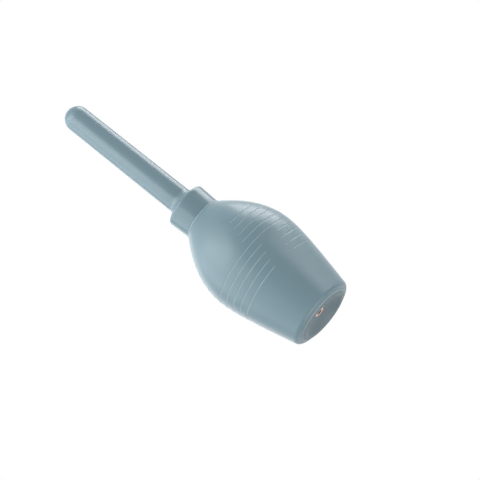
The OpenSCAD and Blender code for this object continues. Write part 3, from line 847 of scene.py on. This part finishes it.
class DOUCHE_OT_valve(Operator):
    """Make the plated body and the coiled spring of the air inlet, and finish its other pieces"""

    bl_idname = "douche.valve"
    bl_label = "Air inlet"

    def execute(self, context):
        valve, colours = context.scene.douche_valve, context.scene.douche_finish
        seat_z, head_z = VALVE_Z + valve.floor, VALVE_Z + valve.head_height
        curve = outline(
            [valve.hole, VALVE_Z + valve.sink, 0.3 * MM], [valve.mouth, VALVE_Z, 0.5 * MM],
            arc(valve.head - valve.head_edge, VALVE_Z + valve.head_edge, valve.head_edge, -90, 0),
            [valve.head, head_z, 0], [valve.shank, head_z, 0],
            line((valve.shank, head_z + 0.5 * MM), (valve.shank, VALVE_TOP_Z - 0.3 * MM), 150),
            [valve.shank - 0.25 * MM, VALVE_TOP_Z, 0], [valve.chamber, VALVE_TOP_Z, 0.1 * MM],
            [valve.chamber, seat_z, 0], [valve.hole, seat_z, 0])
        radius, z, angle = polar(curve, 96)
        share = thread_share(z, angle, valve.pitch, flat=0.1, first=PLUG_TOP_Z / valve.pitch)
        threaded = (radius > valve.shank - 0.05 * MM) & (z > head_z + 0.4 * MM)
        points = turned(radius - np.where(threaded, valve.thread * share, 0), z, angle)
        # Painted shade: the countersunk mouth and the bore are painted dark, where shade falls in
        # the hole.
        bore_shade = smooth((valve.mouth - radius) / (0.2 * MM))
        body = grid_piece("valve_body_turned", points, cut=bore_shade)

        # Brass turned and plated thin: warm pink rings of light round a hole made dark by painted
        # shade.
        plate = turned_metal("turned_brass_rose_gold_plated", colours.plating,
                             roughness=0.24, mark_pitch=0.25 * MM, mark_height=0.002 * MM,
                             painted_shade=colours.painted_shade)
        # Plain turned brass: yellow, with deeper marks that break its highlights.
        brass = turned_metal("turned_plain_brass", colours.brass, roughness=0.3,
                             mark_pitch=0.2 * MM, mark_height=0.004 * MM)
        # Wire drawn through a die: bright with a slight haze.
        steel = turned_metal("drawn_stainless_wire", colours.steel, roughness=0.25,
                             mark_pitch=0.3 * MM, mark_height=0.001 * MM)
        # Lapped ball: nearly a mirror.
        ball = turned_metal("lapped_stainless_ball", colours.steel, roughness=0.08,
                            mark_pitch=0.6 * MM, mark_height=0.0002 * MM)
        dress(body, "bulb_body", "valve_body", plate)
        dress_node("valve_nut", brass)
        dress_node("valve_cap", brass)
        dress_node("valve_ball", ball)

        points = spring_points(valve, SPRING_Z + valve.wire, SPRING_TOP_Z - valve.wire)
        spring = grid_piece("valve_spring_coil", points, closed_rows=False)
        weld(spring)
        dress(spring, "bulb_body", "valve_spring", steel)
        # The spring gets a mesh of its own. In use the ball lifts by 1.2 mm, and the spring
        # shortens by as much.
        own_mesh(spring)
        return {"FINISHED"}


# Stage


def lay_floor(scene):
    """Flat rings of floor round the rim that the object stands on. Only the camera sees them."""
    reach = np.array([1.5, 0.7, 0.3, 0.12, 60 * MM, 18.5 * MM])
    points = turned(*polar(np.column_stack([reach, 0 * reach]), 128))
    floor = grid_piece("floor", points, closed_rows=False)
    floor.data.materials.append(pale_floor(scene.douche_finish.floor))
    floor.visible_diffuse = floor.visible_glossy = floor.visible_shadow = False


def surround(scene, strength):
    """Even light of that strength from all sides.

    Seen by the camera, in a reflection or through glass, it is plain white.
    """
    world = scene.world or bpy.data.worlds.new("surroundings")
    scene.world = world
    world.use_nodes = True
    tree = world.node_tree
    tree.nodes.clear()
    ray = add(tree, "ShaderNodeLightPath")
    seen = ray.outputs["Is Camera Ray"]
    for kind in ("Is Glossy Ray", "Is Transmission Ray"):
        both = add(tree, "ShaderNodeMath", {0: seen, 1: ray.outputs[kind]}, operation="MAXIMUM")
        seen = both.outputs["Value"]
    level = add(tree, "ShaderNodeMapRange", {"Value": seen, "To Min": strength, "To Max": 1})
    light = add(tree, "ShaderNodeBackground", {"Color": (1, 1, 1, 1),
                                               "Strength": level.outputs["Result"]})
    add(tree, "ShaderNodeOutputWorld", {"Surface": light.outputs["Background"]})


def hang_lamps(scene, stage):
    """Softboxes round the object's middle, each facing it.

    The way to a lamp is (cos azimuth cos elevation, sin azimuth cos elevation, sin elevation).
    """
    middle = Vector((0, 0, 0.08))
    # Name, power, azimuth and elevation in degrees, distance, width and height
    for name, energy, azimuth, elevation, distance, width, tall in (
            ("key_softbox", stage.key, 19, 30, 1.0, 0.65, 0.7),
            ("flank_softbox", stage.flank, 0, -5, 1.0, 0.6, 0.5),
            ("fill_softbox", stage.fill, 208, 28, 1.2, 2.2, 1.6),
            ("front_softbox", stage.front, 335, -12, 1.0, 0.5, 0.5),
            ("base_softbox", stage.below, 255, -76, 1.0, 0.8, 0.8),
            ("crown_softbox", stage.crown, 240, 48, 0.6, 0.6, 0.6),
            ("back_softbox", stage.back, 105, 25, 1.3, 1.4, 1.2)):
        lamp = bpy.data.lights.new(name, "AREA")
        lamp.shape, lamp.size, lamp.size_y, lamp.energy = "RECTANGLE", width, tall, energy
        box = bpy.data.objects.new(name, lamp)
        scene.collection.objects.link(box)
        a, e = np.radians(azimuth), np.radians(elevation)
        away = Vector((np.cos(a) * np.cos(e), np.sin(a) * np.cos(e), np.sin(e)))
        box.location = middle + away * distance
        box.rotation_euler = away.to_track_quat("Z", "Y").to_euler()
        box.visible_camera = False


def place_camera(scene, stage):
    """Camera in front of the object, raised by its elevation and then rolled.

    Its axes are unit vectors from the sines and cosines of both angles. It stands back from the
    aim by its distance, and is shifted so that it sees the aim right of and below the middle.
    """
    e, r = stage.elevation, stage.roll
    ahead = Vector((0, np.cos(e), -np.sin(e)))
    right = Vector((np.sin(r), -np.sin(e) * np.cos(r), -np.cos(e) * np.cos(r)))
    up = right.cross(ahead)
    aim = Vector((0, 0, stage.aim))
    place = aim - right * stage.right + up * stage.down - ahead * stage.distance
    camera = bpy.data.cameras.new("camera")
    camera.lens, camera.sensor_width = stage.lens, 36
    view = bpy.data.objects.new("camera", camera)
    scene.collection.objects.link(view)
    turn = Matrix((right, up, -ahead)).transposed().to_4x4()
    view.matrix_world = Matrix.Translation(place) @ turn
    scene.camera = view


class DOUCHE_OT_stage(Operator):
    """Make the floor, the white surroundings, the softboxes and the camera"""

    bl_idname = "douche.stage"
    bl_label = "Stage"

    def execute(self, context):
        scene, stage = context.scene, context.scene.douche_stage
        lay_floor(scene)
        surround(scene, stage.surround)
        hang_lamps(scene, stage)
        place_camera(scene, stage)
        scene.view_settings.view_transform = "Standard"
        return {"FINISHED"}


class DOUCHE_PT_sidebar(Panel):
    """Sizes, finishes and the buttons that build the douche."""

    bl_idname = "DOUCHE_PT_sidebar"
    bl_label = "Squeeze-bulb douche"
    bl_space_type = "VIEW_3D"
    bl_region_type = "UI"
    bl_category = "Douche"

    def draw(self, context):
        for group in SETTINGS:
            box = self.layout.box()
            settings = getattr(context.scene, group)
            for size in type(settings).__annotations__:
                box.prop(settings, size)
        for operator in OPERATORS:
            self.layout.operator(operator.bl_idname)


SETTINGS = {"douche_bulb": DoucheBulb, "douche_plug": DouchePlug, "douche_neck": DoucheNeck,
            "douche_thread": DoucheThread, "douche_collar": DoucheCollar,
            "douche_nozzle": DoucheNozzle, "douche_valve": DoucheValve,
            "douche_finish": DoucheFinish, "douche_stage": DoucheStage}
OPERATORS = (DOUCHE_OT_bulb, DOUCHE_OT_base_plug, DOUCHE_OT_neck, DOUCHE_OT_collar,
             DOUCHE_OT_nozzle, DOUCHE_OT_valve, DOUCHE_OT_stage)


def register():
    """Makes the classes known to Blender and hangs the settings on the scene."""
    for group in (*SETTINGS.values(), *OPERATORS, DOUCHE_PT_sidebar):
        bpy.utils.register_class(group)
    for name, group in SETTINGS.items():
        setattr(bpy.types.Scene, name, PointerProperty(type=group))


def unregister():
    """Undoes what register did."""
    for name in SETTINGS:
        delattr(bpy.types.Scene, name)
    for group in (DOUCHE_PT_sidebar, *OPERATORS[::-1], *list(SETTINGS.values())[::-1]):
        bpy.utils.unregister_class(group)


def main():
    """Builds every piece and the stage."""
    register()
    for operator in OPERATORS:
        getattr(bpy.ops.douche, operator.bl_idname.split(".")[1])()


if __name__ == "__main__":
    main()
